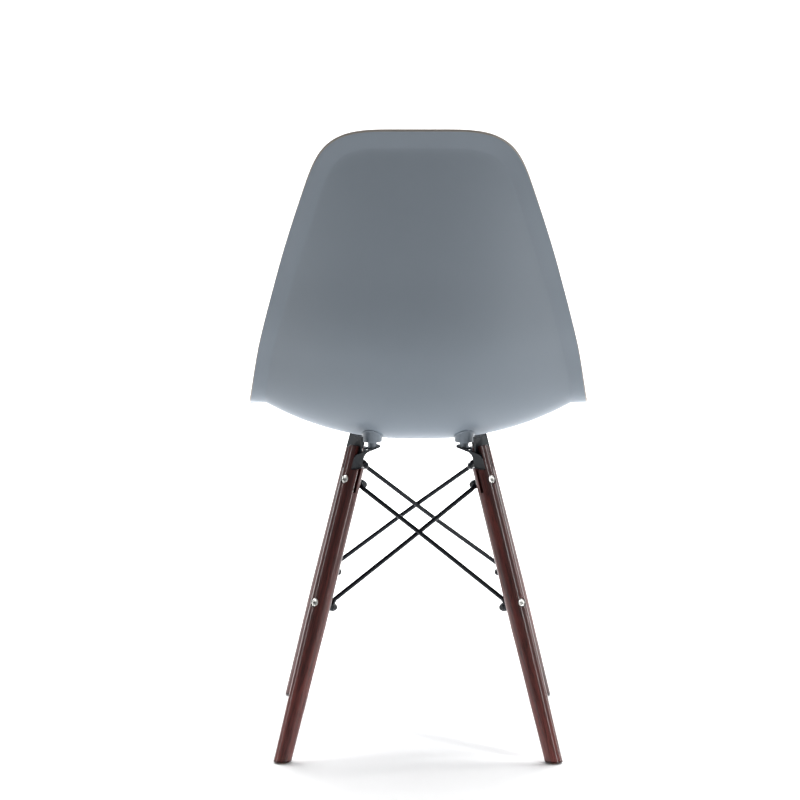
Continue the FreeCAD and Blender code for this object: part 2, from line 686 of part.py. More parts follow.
def bolt_pattern_piece():
    """One leg bolt on its own axis: shank, flat round head with a broken edge, hex socket."""
    shank = primitive(
        "Cylinder", "bolt_shank", f"{NUT_SEAT} - Sizes.nut_grip", Radius="Sizes.bolt_radius",
        Height=f"{HEAD_SEAT} - {NUT_SEAT} + Sizes.nut_grip")
    disc = primitive("Cylinder", "bolt_disc", HEAD_SEAT, Radius="Sizes.head_radius",
                     Height="Sizes.head_height - Sizes.head_bevel")
    crown = primitive(
        "Cone", "bolt_crown", f"{HEAD_SEAT} + Sizes.head_height - Sizes.head_bevel",
        Radius1="Sizes.head_radius", Radius2="Sizes.head_radius - Sizes.head_bevel",
        Height="Sizes.head_bevel")
    socket = primitive(
        "Prism", "bolt_socket", f"{HEAD_SEAT} + Sizes.head_height - Sizes.socket_depth",
        Circumradius="Sizes.socket_flats / sqrt(3)", Height="2 * Sizes.socket_depth")
    socket.Polygon = 6
    head = joined("bolt_head", "Fuse", disc, crown)
    whole = joined("bolt_whole", "Fuse", shank, head)
    return joined("leg_bolt_pattern", "Cut", whole, socket)


def nut_pattern_piece():
    """One cap nut on the bolt's axis: hexagon, dome, blind thread. Its seat faces outward."""
    base = f"{NUT_SEAT} - Sizes.nut_hex_height"
    hexagon = primitive("Prism", "nut_hexagon", base, Circumradius="Sizes.nut_flats / sqrt(3)",
                        Height="Sizes.nut_hex_height")
    hexagon.Polygon = 6
    dome_radius = "(Sizes.nut_height - Sizes.nut_hex_height)"
    dome = primitive("Sphere", "nut_dome", base, Radius=dome_radius)
    solid = joined("nut_solid", "Fuse", hexagon, dome)
    bore = primitive(
        "Cylinder", "nut_bore", f"{NUT_SEAT} - Sizes.nut_grip - Sizes.nut_room",
        Radius="Sizes.bolt_radius + Sizes.thread_clearance", Height="Sizes.nut_grip + 2 * Sizes.nut_room")
    return joined("cap_nut_pattern", "Cut", solid, bore)


def ring(name, lift, outer, inner, height):
    wall = primitive("Cylinder", f"{name}_wall", lift, Radius=outer, Height=height)
    bore = primitive("Cylinder", f"{name}_bore", lift, Radius=inner, Height=height)
    return joined(f"{name}_pattern", "Cut", wall, bore)


def spacer_pattern():
    """One mount spacer at angle 0: a ring, level on top and cut to the arm's slope below."""
    body = new_body("mount_spacer_pattern")
    wall = "Sizes.spacer_radius"
    lowest = f"{ARM_TOP} - {wall} * tan({RISE})"
    section = outline(body, "spacer_section", "XZ_Plane", [
        (f"{MOUNT} + {HOLE}", lowest),
        (f"{MOUNT} + {wall}", lowest),
        (f"{MOUNT} + {wall}", BOSS_FACE),
        (f"{MOUNT} + {HOLE}", BOSS_FACE),
    ])
    turned(body, "spacer_ring", section, (MOUNT, lowest), (MOUNT, BOSS_FACE))
    arm = outline(body, "spacer_slope", "XZ_Plane", [
        on_arm(f"-2 * {wall}", "0"),
        on_arm(f"2 * {wall}", "0"),
        on_arm(f"2 * {wall}", f"2 * {wall}"),
        on_arm(f"-2 * {wall}", f"2 * {wall}"),
    ])
    both_ways(body, "spacer_foot", arm, f"4 * {wall}", cut=True)
    return body


def mount_screw_pattern():
    """One mount screw, upright: thin head in the arm's spot face, shank up into the insert."""
    head = primitive("Cylinder", "screw_head", f"{SCREW_SEAT} - Sizes.screw_head_height",
                     Radius="Sizes.screw_head_radius", Height="Sizes.screw_head_height")
    end = f"{BOSS_FACE} + Sizes.insert_length + Sizes.insert_room - Sizes.screw_end_room"
    shank = primitive("Cylinder", "screw_shank", SCREW_SEAT, Radius="Sizes.bolt_radius",
                      Height=f"{end} - {SCREW_SEAT}")
    solid = joined("screw_solid", "Fuse", head, shank)
    socket = primitive(
        "Prism", "screw_socket", f"{SCREW_SEAT} - 2 * Sizes.screw_head_height",
        Circumradius="Sizes.socket_flats / sqrt(3)",
        Height="Sizes.screw_head_height + Sizes.screw_socket_depth")
    socket.Polygon = 6
    return joined("mount_screw_pattern", "Cut", solid, socket)


def glide_pattern():
    """One foot glide, upright: disc on the floor and its pin."""
    disc = primitive("Cylinder", "glide_disc", "0", Radius="Sizes.glide_radius",
                     Height="Sizes.glide_height")
    pin = primitive("Cylinder", "glide_pin", "Sizes.glide_height", Radius="Sizes.pin_radius",
                    Height="Sizes.pin_length")
    return joined("glide_pattern", "Fuse", disc, pin)


def group(name, pattern, placements):
    """Equal pieces in one node, each a solid of its own."""
    copies = []
    for placement in placements:
        copy = pattern.Shape.copy()
        copy.Placement = placement
        copies.append(copy.Solids[0])
    node = doc.addObject("Part::Feature", name)
    node.Label = name
    node.Shape = copies[0] if len(copies) == 1 else Part.makeCompound(copies)
    return node


def bent_line(places, radii):
    """Straight runs through places, each inner corner rounded by a tangent arc of its radius."""
    edges = []
    start = places[0]
    for before, corner, after, radius in zip(places, places[1:], places[2:], radii):
        inward = (before - corner).normalize()
        outward = (after - corner).normalize()
        half_turn = (math.pi - inward.getAngle(outward)) / 2
        reach = radius * math.tan(half_turn)
        first = corner + inward * reach
        last = corner + outward * reach
        centre = corner + (inward + outward).normalize() * (radius / math.cos(half_turn))
        crown = centre + (corner - centre).normalize() * radius
        edges.append(Part.LineSegment(start, first).toShape())
        edges.append(Part.Arc(first, crown, last).toShape())
        start = last
    edges.append(Part.LineSegment(start, places[-1]).toShape())
    return Part.Wire(edges)


def eyelet(frame, depth, direction, reach):
    """Flattened rod end in a bolt's frame: a round-ended plate with the bolt's hole."""
    thick = size("eyelet_thickness")
    wide = size(f"{HOLE} + Sizes.eyelet_wall")
    disc = Part.makeCylinder(wide, thick, Vector(0, 0, depth))
    strip = Part.makeBox(reach, 2 * size("rod_radius"), thick, Vector(0, -size("rod_radius"), depth))
    plate = disc.fuse(strip)
    plate.rotate(Vector(0, 0, 0), Vector(0, 0, 1), math.degrees(math.atan2(direction.y, direction.x)))
    hole = Part.makeCylinder(size(HOLE), 3 * thick, Vector(0, 0, depth - thick))
    plate.Placement = frame * plate.Placement
    hole.Placement = frame * hole.Placement
    return plate, hole


def brace_rod(name, top_angle, low_angle, layer, bow):
    """A round rod from one leg's upper bolt to the next leg's lower bolt, both ends flattened."""
    step = size("eyelet_thickness")
    face = -size("leg_radius") - layer * step
    deep = Vector(0, 0, face - size("rod_radius"))
    turn = math.radians(size("lower_tail_turn"))
    across = 1 if top_angle < low_angle else -1
    top_frame = bolt_placement(top_angle, UPPER_BOLT)
    low_frame = bolt_placement(low_angle, LOWER_BOLT)
    # in a bolt's frame +X runs down the leg and +Y runs round the base
    low_way = Vector(-math.cos(turn), -across * math.sin(turn), 0)
    low_start, top_start = size(LOWER_START), size(UPPER_START)
    last_bend = low_frame.multVec(low_way * (low_start + size("lower_run")) + deep)
    top_way = top_frame.inverse().multVec(last_bend)
    top_way.z = 0
    top_way.normalize()
    first_bend = top_frame.multVec(top_way * (top_start + size("upper_run")) + deep)
    start = top_frame.multVec(top_way * top_start + deep)
    finish = low_frame.multVec(low_way * low_start + deep)
    ends = [(top_frame, top_way, top_start), (low_frame, low_way, low_start)]
    middle = (first_bend + last_bend) * 0.5
    mid_angle = math.radians((top_angle + low_angle) / 2)
    lean = math.atan(math.tan(math.radians(size("leg_lean"))) / math.sqrt(2))
    outward = Vector(math.cos(mid_angle) * math.cos(lean), math.sin(mid_angle) * math.cos(lean),
                     math.sin(lean))
    middle = middle + outward * bow
    bend = size("rod_bend_radius")
    gentle = (first_bend - last_bend).Length * GENTLE_BEND
    path = bent_line([start, first_bend, middle, last_bend, finish], [bend, gentle, bend])
    circle_edge = Part.makeCircle(size("rod_radius"), start, (first_bend - start).normalize())
    rod = path.makePipeShell([Part.Wire([circle_edge])], True, True)
    shape = rod
    holes = []
    for frame, way, begin in ends:
        plate, hole = eyelet(frame, face - step, way, begin + size("rod_radius"))
        shape = shape.fuse(plate)
        holes.append(hole)
    for hole in holes:
        shape = shape.cut(hole)
    node = doc.addObject("Part::Feature", name)
    node.Label = name
    node.Shape = shape.Solids[0] if len(shape.Solids) == 1 else shape
    return node


def brace_rods():
    """Two crossing rods on each side of the base, the outer one next to the legs."""
    rods = []
    sides = ["rear", "right", "front", "left"]
    bow = size("rod_radius - rod_bow_less")
    for index, side in enumerate(sides):
        here = CORNERS[index][1]
        following = here + 90
        rods.append(brace_rod(f"brace_rod_{side}_outer", here, following, 0, bow))
        rods.append(brace_rod(f"brace_rod_{side}_inner", following, here, 1, -bow))
    return rods


def build():
    nodes = [seat_shell()]
    for corner, angle in CORNERS:
        nodes.append(leg(corner, angle))
        nodes.append(leg_bracket(corner, angle))
    nodes.extend(brace_rods())
    bolt = bolt_pattern_piece()
    nut = nut_pattern_piece()
    washer = ring("nut_washer", NUT_SEAT, WASHER, HOLE, "Sizes.washer_thickness")
    insert = ring("threaded_insert", BOSS_FACE, INSERT, "Sizes.bolt_radius + Sizes.thread_clearance",
                  "Sizes.insert_length")
    spacer = spacer_pattern()
    screw = mount_screw_pattern()
    glide = glide_pattern()
    doc.recompute()
    upper = [bolt_placement(angle, UPPER_BOLT) for _, angle in CORNERS]
    lower = [bolt_placement(angle, LOWER_BOLT) for _, angle in CORNERS]
    corners = [corner_placement(angle) for _, angle in CORNERS]
    mounts = [mount_placement(angle) for _, angle in CORNERS]
    nodes.append(group("upper_leg_bolts", bolt, upper))
    nodes.append(group("lower_leg_bolts", bolt, lower))
    nodes.append(group("upper_cap_nuts", nut, upper))
    nodes.append(group("lower_cap_nuts", nut, lower))
    nodes.append(group("nut_washers", washer, upper + lower))
    nodes.append(group("mount_spacers", spacer, corners))
    nodes.append(group("threaded_inserts", insert, mounts))
    nodes.append(group("mount_screws", screw, mounts))
    foot = size(f"{FOOT} - tan({LEAN}) * Sizes.glide_height")
    for corner, angle in CORNERS:
        place = corner_placement(angle) * Placement(Vector(foot, 0, 0), Rotation())
        nodes.append(group(f"foot_glide_{corner}", glide, [place]))
    return nodes


nodes = build()
doc.recompute()
for item in doc.Objects:
    if "Invalid" in item.State or "Error" in item.State:
        raise RuntimeError(f"{item.Name} did not build: {item.State}")
for node in nodes:
    if node.Shape.isNull() or not node.Shape.isValid() or not node.Shape.Solids:
        raise RuntimeError(f"{node.Label} has no valid shape")

os.makedirs("parts", exist_ok=True)
for node in nodes:
    node.Shape.exportStep(os.path.join("parts", f"{node.Label}.step"))
    box = node.Shape.BoundBox
    print(f"{node.Label}: {len(node.Shape.Solids)} solid(s), {node.Shape.Volume / 1000:.2f} cm3,"
          f" y {box.YMin:.2f} to {box.YMax:.2f}, z {box.ZMin:.2f} to {box.ZMax:.2f}")
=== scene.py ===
import math

import bmesh
import bpy
import numpy as np
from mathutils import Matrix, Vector


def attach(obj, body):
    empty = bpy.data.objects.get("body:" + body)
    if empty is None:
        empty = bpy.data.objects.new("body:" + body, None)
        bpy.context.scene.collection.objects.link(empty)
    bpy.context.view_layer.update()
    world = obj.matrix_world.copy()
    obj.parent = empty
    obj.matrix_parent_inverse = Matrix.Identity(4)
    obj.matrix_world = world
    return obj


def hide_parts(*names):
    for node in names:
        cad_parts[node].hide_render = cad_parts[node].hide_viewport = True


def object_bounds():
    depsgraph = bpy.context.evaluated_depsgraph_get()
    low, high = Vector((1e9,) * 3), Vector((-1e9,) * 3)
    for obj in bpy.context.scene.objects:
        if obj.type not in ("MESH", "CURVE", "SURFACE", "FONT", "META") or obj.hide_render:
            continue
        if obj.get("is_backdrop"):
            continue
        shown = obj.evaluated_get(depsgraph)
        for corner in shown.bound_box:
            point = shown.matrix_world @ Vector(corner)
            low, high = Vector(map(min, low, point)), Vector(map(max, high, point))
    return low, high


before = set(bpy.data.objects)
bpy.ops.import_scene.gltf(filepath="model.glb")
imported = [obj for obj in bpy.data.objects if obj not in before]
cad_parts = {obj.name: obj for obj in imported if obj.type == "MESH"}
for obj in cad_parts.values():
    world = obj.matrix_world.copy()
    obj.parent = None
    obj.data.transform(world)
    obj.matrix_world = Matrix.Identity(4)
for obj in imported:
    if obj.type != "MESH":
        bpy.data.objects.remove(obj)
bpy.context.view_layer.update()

MM = 0.001

# Driving sizes of the chair, in millimetres and degrees, as the frame has them.
BASE_SETBACK = 83.05
FOOT_REACH = 250.335
LEG_LEAN = math.radians(19.3)
LEG_RADIUS = 13.5
UPPER_BOLT_ALONG = 378.0
LOWER_BOLT_ALONG = 212.0
BOSS_FACE = 404.47
BOSS_RADIUS = 13.0
BOSS_CORNER = 0.5
BOSS_FILLET = 1.0
INSERT_RADIUS = 4.2
MOUNT_SPACING = 121.4
ROD_RADIUS = 3.0
EYELET_RADIUS = 5.6
EYELET_THICKNESS = 2.6
EYELET_HOLE = 3.3
UPPER_TAIL = 10.52
LOWER_TAIL = 11.52
LOWER_TAIL_TURN = math.radians(22.0)
ROD_BEND_RADIUS = 6.0
ROD_BOW = 2.8
# half width of a pressed rod end, and how square its section gets
PRESSED_HALF_WIDTH = 4.5
PRESSED_SQUARENESS = 2.5
# radius of the slight bend in the middle of a rod, in lengths of its long run
GENTLE_BEND = 4
# a leg's face belongs to its turned surface when its normal is about this close to straight out
TURNED_FACING = 0.93
# an edge is drawn sharp when its two faces turn by more than this
SHARP_COPIED = math.radians(28)
SHARP_TURNED = math.radians(40)
# points this near, in millimetres, are one point
SAME_PLACE = 0.002
CORNERS = {"rear_left": 45, "rear_right": 135, "front_right": 225, "front_left": 315}

SHELL_WIDTH = 462.0
SHELL_DEPTH = 527.0
SEAT_FRONT_HEIGHT = 423.97
BACK_RISE = 400.0
SHELL_FRONT = 352.0
SHELL_WALL = 5.0
RIM_BAND = 26.0
# roundness of the bend where the rim's flare starts, as a share of the band
RIM_CREASE = 0.12
# the straight flare ends this far short, so that its round edge reaches as far as the frame's
RIM_TUCK = 0.9

# Ribs of the shell from the front edge to the top: share of the depth, drop in mm, share of the rise,
# share of the half width, lift of the sides in mm, flare of the rim in mm, tilt of the lift in degrees.
BACK_SHARE, DROP, RISE_SHARE, HALF_SHARE, LIFT, FLARE, TILT = range(7)
RIBS = np.array([
    (0.000, 0, 0.000, 0.848, 5, 7, -10),
    (0.099, -14, 0.000, 0.913, 8, 8, -2),
    (0.260, -10, 0.000, 0.970, 11, 9, 0),
    (0.440, 0, 0.000, 1.000, 18, 10, 4),
    (0.630, 11, 0.000, 0.978, 51, 12, 18),
    (0.803, 4, 0.000, 0.961, 78, 14, 50),
    (0.892, 0, 0.240, 0.905, 78, 14, 74),
    (0.934, 0, 0.540, 0.797, 53, 11, 81),
    (0.972, 0, 0.815, 0.697, 24, 8, 80),
    (1.000, 0, 1.000, 0.684, 12, 6, 78),
], float)
BOWL_POWER = 2.3
POLE_ALONG = 0.36
TOP_CORNER_POWER = 4.8
FRONT_CORNER_POWER = 4.0


def linear(hex_colour):
    """An sRGB hex value as the linear colour that a shader socket takes."""
    values = [int(hex_colour[place:place + 2], 16) / 255 for place in (1, 3, 5)]
    return [v / 12.92 if v <= 0.04045 else ((v + 0.055) / 1.055) ** 2.4 for v in values] + [1.0]


def add_node(material, kind, values=None, links=None, **settings):
    """Adds a node to a material: its settings, the numbers on its sockets and what feeds them."""
    made = material.node_tree.nodes.new(kind)
    for name, value in settings.items():
        setattr(made, name, value)
    for name, value in (values or {}).items():
        made.inputs[name].default_value = value
    for name, source in (links or {}).items():
        material.node_tree.links.new(source, made.inputs[name])
    return made


def new_material(name):
    material = bpy.data.materials.new(name)
    material.use_nodes = True
    material.node_tree.nodes.clear()
    return material


def per_mm(period):
    """Noise scale that repeats about once in a period of that many millimetres."""
    return 1 / (period * MM)


MIX_FACTOR, MIX_A, MIX_B, MIX_RESULT = 0, 6, 7, 2


def moulded_polypropylene():
    """Injection moulded polypropylene from a finely eroded tool: an even satin grey, no gloss line, and a
    painted beige highlight along the rim's edge.
    """
    material = new_material("moulded_polypropylene")
    place = add_node(material, "ShaderNodeTexCoord").outputs["Object"]
    cloud = add_node(material, "ShaderNodeTexNoise", {"Scale": per_mm(140), "Detail": 2.0},
                     {"Vector": place})
    body = add_node(material, "ShaderNodeMix",
                    {MIX_A: linear("#535B63"), MIX_B: linear("#575F67")},
                    {MIX_FACTOR: cloud.outputs["Fac"]}, data_type="RGBA")
    # painted highlight: the rings over the rim's edge are mixed to a lighter beige, which stands in for
    # light catching the lip
    edge = add_node(material, "ShaderNodeAttribute", attribute_name="painted_rim_highlight")
    colour = add_node(material, "ShaderNodeMix", {MIX_B: linear("#746E68")},
                      {MIX_FACTOR: edge.outputs["Fac"], MIX_A: body.outputs[MIX_RESULT]},
                      data_type="RGBA")
    # the tool's erosion is about 0.1 mm, drawn ten times as coarse so that it shows
    grain = add_node(material, "ShaderNodeTexNoise", {"Scale": per_mm(1.0), "Detail": 1.0},
                     {"Vector": place})
    bump = add_node(material, "ShaderNodeBump", {"Strength": 0.06, "Distance": 0.1 * MM},
                    {"Height": grain.outputs["Fac"]})
    shader = add_node(material, "ShaderNodeBsdfPrincipled", {"Roughness": 0.42, "IOR": 1.49},
                      {"Base Color": colour.outputs[MIX_RESULT], "Normal": bump.outputs["Normal"]})
    add_node(material, "ShaderNodeOutputMaterial", links={"Surface": shader.outputs["BSDF"]})
    return material


def stained_hardwood():
    """Turned hardwood, stained dark walnut and lacquered: fine dark pores along the leg, satin coat."""
    material = new_material("stained_and_lacquered_hardwood")
    place = add_node(material, "ShaderNodeAttribute", attribute_name="leg_place").outputs["Vector"]
    rings_place = add_node(material, "ShaderNodeMapping", {"Scale": (1, 1, 0.05)}, {"Vector": place})
    rings = add_node(material, "ShaderNodeTexNoise",
                     {"Scale": per_mm(7), "Detail": 3.0, "Distortion": 0.4},
                     {"Vector": rings_place.outputs["Vector"]})
    pores_place = add_node(material, "ShaderNodeMapping", {"Scale": (1, 1, 0.045)}, {"Vector": place})
    pores = add_node(material, "ShaderNodeTexNoise", {"Scale": per_mm(0.9), "Detail": 2.0},
                     {"Vector": pores_place.outputs["Vector"]})
    tone = add_node(material, "ShaderNodeValToRGB", links={"Fac": rings.outputs["Fac"]})
    tone.color_ramp.elements[0].position = 0.32
    tone.color_ramp.elements[0].color = linear("#260E0D")
    tone.color_ramp.elements[1].position = 0.68
    tone.color_ramp.elements[1].color = linear("#441B17")
    pore_depth = add_node(material, "ShaderNodeValToRGB", links={"Fac": pores.outputs["Fac"]})
    pore_depth.color_ramp.elements[0].position = 0.36
    pore_depth.color_ramp.elements[0].color = (0.35, 0.35, 0.35, 1)
    pore_depth.color_ramp.elements[1].position = 0.5
    pore_depth.color_ramp.elements[1].color = (1, 1, 1, 1)
    colour = add_node(material, "ShaderNodeMix", {MIX_FACTOR: 1.0},
                      {MIX_A: tone.outputs["Color"], MIX_B: pore_depth.outputs["Color"]},
                      data_type="RGBA", blend_type="MULTIPLY")
    bump = add_node(material, "ShaderNodeBump", {"Strength": 0.25, "Distance": 0.08 * MM},
                    {"Height": pore_depth.outputs["Color"]})
    shader = add_node(
        material, "ShaderNodeBsdfPrincipled",
        {"Roughness": 0.5, "IOR": 1.3, "Coat Weight": 0.55, "Coat Roughness": 0.1, "Coat IOR": 1.42},
        {"Base Color": colour.outputs[MIX_RESULT], "Normal": bump.outputs["Normal"]})
    add_node(material, "ShaderNodeOutputMaterial", links={"Surface": shader.outputs["BSDF"]})
    return material


def grained_finish(name, low, high, period, bump_strength, **surface):
    """A coated or plated surface: two close tones in a fine noise, with its slight unevenness."""
    material = new_material(name)
    place = add_node(material, "ShaderNodeTexCoord").outputs["Object"]
    noise = add_node(material, "ShaderNodeTexNoise", {"Scale": per_mm(period), "Detail": 2.0},
                     {"Vector": place})
    colour = add_node(material, "ShaderNodeMix", {MIX_A: linear(low), MIX_B: linear(high)},
                      {MIX_FACTOR: noise.outputs["Fac"]}, data_type="RGBA")
    bump = add_node(material, "ShaderNodeBump", {"Strength": bump_strength, "Distance": 0.1 * MM},
                    {"Height": noise.outputs["Fac"]})
    values = {key.replace("_", " "): value for key, value in surface.items()}
    shader = add_node(material, "ShaderNodeBsdfPrincipled", values,
                      {"Base Color": colour.outputs[MIX_RESULT], "Normal": bump.outputs["Normal"]})
    add_node(material, "ShaderNodeOutputMaterial", links={"Surface": shader.outputs["BSDF"]})
    return material


def mesh_object(name, points, faces, material, smooth_angle=None):
    """A piece from points in millimetres and faces, shaded smooth up to an angle between faces."""
    mesh = bpy.data.meshes.new(name)
    face_list = faces.tolist() if hasattr(faces, "tolist") else faces
    mesh.from_pydata((points * MM).tolist(), [], face_list)
    mesh.validate()
    piece = bpy.data.objects.new(name, mesh)
    bpy.context.scene.collection.objects.link(piece)
    mesh.materials.append(material)
    mesh.shade_smooth()
    if smooth_angle is not None:
        mesh.set_sharp_from_angle(angle=smooth_angle)
    return piece


def tube_faces(rings, around, closed_along=False):
    """Quads over a grid of rings that each close on themselves, and along too if asked."""
    ring = np.arange(rings if closed_along else rings - 1)[:, None]
    step = np.arange(around)[None, :]
    following = (ring + 1) % rings
    beside = (step + 1) % around
    return np.stack([ring * around + step, ring * around + beside,
                     following * around + beside, following * around + step], -1).reshape(-1, 4)


def smooth(column, along):
    """A rib value at a share of the way along: a Catmull-Rom curve, ends continued straight."""
    values = RIBS[:, column]
    padded = np.concatenate([[2 * values[0] - values[1]], values, [2 * values[-1] - values[-2]]])
    place = np.clip(along, 0, 1) * (len(values) - 1)
    index = np.minimum(place.astype(int), len(values) - 2)
    step = place - index
    before, here, after, beyond = (padded[index + k] for k in range(4))
    return 0.5 * (2 * here + (after - before) * step
                  + (2 * before - 5 * here + 4 * after - beyond) * step ** 2
                  + (3 * here - before - 3 * after + beyond) * step ** 3)


def shell_surface(across, along, edge_distance):
    """Sitter's side: the rib's middle, out by the half width, lifted by a power of the share across
    and pulled back over the rim's band in a straight flare with a short rounded start."""
    tilt = np.radians(smooth(TILT, along))
    band = 1 - edge_distance / RIM_BAND
    bent = (np.sqrt(band ** 2 + RIM_CREASE ** 2) + band) / 2
    whole = (math.sqrt(1 + RIM_CREASE ** 2) + 1) / 2
    lift = smooth(LIFT, along) * np.abs(across) ** BOWL_POWER
    lift = lift - smooth(FLARE, along) * bent / whole
    return np.stack([
        smooth(HALF_SHARE, along) * SHELL_WIDTH / 2 * across,
        BASE_SETBACK - SHELL_FRONT + smooth(BACK_SHARE, along) * SHELL_DEPTH - lift * np.sin(tilt),
        SEAT_FRONT_HEIGHT - smooth(DROP, along) + smooth(RISE_SHARE, along) * BACK_RISE
        + lift * np.cos(tilt),
    ], -1)


def rim_shares(angle):
    """Shares across and along of a rounded rectangle's outline at an angle, -90 degrees in front."""
    side, way = np.cos(angle), np.sin(angle)
    power = np.where(way >= 0, TOP_CORNER_POWER, FRONT_CORNER_POWER)
    reach = (np.abs(side) ** power + np.abs(way) ** power) ** (-1 / power)
    span = np.where(way >= 0, 1 - POLE_ALONG, POLE_ALONG)
    return reach * side, reach * way * span


def edge_reach(angle):
    """Length of the ray at an angle, measured square to the rim, as the rim's last stretch gives it."""
    near_rim = 0.98
    step = 0.01
    def at(turned, share):
        across, along = rim_shares(turned)
        band = np.full_like(turned, RIM_BAND)
        return shell_surface(across * share, POLE_ALONG + along * share, band)
    tangent = at(angle + step, 1) - at(angle - step, 1)
    tangent /= np.linalg.norm(tangent, axis=-1, keepdims=True)
    ray = at(angle, 1) - at(angle, near_rim)
    square = ray - tangent * np.sum(ray * tangent, -1, keepdims=True)
    return np.linalg.norm(square, axis=-1) / (1 - near_rim)


def shell_point(angle, share):
    across, along = rim_shares(angle)
    return shell_surface(across * share, POLE_ALONG + along * share, (1 - share) * edge_reach(angle))


def shell_normal(angle, share):
    """Unit normal towards the sitter, from close steps along the ray and round the rim."""
    near = 0.003
    low, high = np.maximum(share - near, near / 2), np.minimum(share + near, 1.0)
    ray = shell_point(angle, high) - shell_point(angle, low)
    around = shell_point(angle + near, share) - shell_point(angle - near, share)
    normal = np.cross(ray, around)
    return normal / np.linalg.norm(normal, axis=-1, keepdims=True)


def seat_shell(material):
    """One closed skin in rings round a pole in the seat: the sitter's side out to the rim, a half
    circle over the edge, and the underside back, a wall's thickness below along the normal.
    The four bosses are turned profiles that run up into the underside with a hollow fillet."""
    around = 400
    angle = np.arange(around) * 2 * np.pi / around - np.pi / 2
    reach = edge_reach(angle)
    inside = 1 - RIM_BAND / reach
    inner_rings = 56
    band_rings = 19
    # above 1, so that the rings over the band draw closer together towards the edge
    band_spacing = 1.3
    shares = [inside * ring / inner_rings for ring in range(1, inner_rings)]
    shares += [1 - (RIM_TUCK + (RIM_BAND - RIM_TUCK) * left) / reach
               for left in (1 - np.linspace(0, 1, band_rings)) ** band_spacing]
    sitter = np.array([shell_point(angle, share) for share in shares])
    normals = np.array([shell_normal(angle, share) for share in shares])
    under = sitter - normals * SHELL_WALL
    middle = (sitter[-1] + under[-1]) / 2
    up = (sitter[-1] - under[-1]) / 2
    out = sitter[-1] - sitter[-2]
    out -= up * (np.sum(out * up, -1) / np.sum(up * up, -1))[:, None]
    out /= np.linalg.norm(out, axis=-1, keepdims=True)
    turns = np.radians(np.arange(18, 180, 18))
    edge = [middle + up * np.cos(turn) + out * (np.sin(turn) * SHELL_WALL / 2) for turn in turns]
    rings = np.concatenate([sitter, edge, under[::-1]])
    pole = shell_point(np.array([0.0]), np.array([0.0]))
    near_pole = 0.004
    pole_under = pole - shell_normal(np.array([0.0]), np.array([near_pole])) * SHELL_WALL
    points = np.concatenate([rings.reshape(-1, 3), pole, pole_under])
    count = len(rings) * around
    step = np.arange(around)
    beside = (step + 1) % around
    last = (len(rings) - 1) * around
    faces = tube_faces(len(rings), around)[:, ::-1].tolist()
    faces += np.stack([np.full(around, count), step, beside], -1).tolist()
    faces += np.stack([np.full(around, count + 1), last + beside, last + step], -1).tolist()
    # marks the rings over the rim's edge, where the material paints a lighter beige highlight
    rim_highlight_mask = np.zeros(len(points))
    rim_highlight_mask[len(sitter) * around:(len(sitter) + len(edge)) * around] = 1.0
    piece = mesh_object("seat_shell_moulding", points, faces, material)
    marks = piece.data.attributes.new("painted_rim_highlight", "FLOAT", "POINT")
    marks.data.foreach_set("value", rim_highlight_mask.astype(np.float32))
    return piece


def underside_height(x, y):
    """Height of the shell's underside above a place in plan, by walking the share along the shell
    until its place in Y is met."""
    rib_places = BASE_SETBACK - SHELL_FRONT + RIBS[:, BACK_SHARE] * SHELL_DEPTH
    along = np.interp(y, rib_places, np.linspace(0, 1, len(RIBS)))
    far = np.full_like(x, RIM_BAND)
    step = 0.002
    rounds = 12
    for _ in range(rounds):
        across = x / (smooth(HALF_SHARE, along) * SHELL_WIDTH / 2)
        here = shell_surface(across, along, far)
        ahead = shell_surface(across, along + step, far)
        along = along + (y - here[..., 1]) / (ahead[..., 1] - here[..., 1]) * step
    across = x / (smooth(HALF_SHARE, along) * SHELL_WIDTH / 2)
    here = shell_surface(across, along, far)
    ahead = shell_surface(across, along + step, far) - here
    beside = shell_surface(across + step, along, far) - here
    normal = np.cross(beside, ahead)
    normal /= np.linalg.norm(normal, axis=-1, keepdims=True)
    return here[..., 2] - SHELL_WALL / np.abs(normal[..., 2])


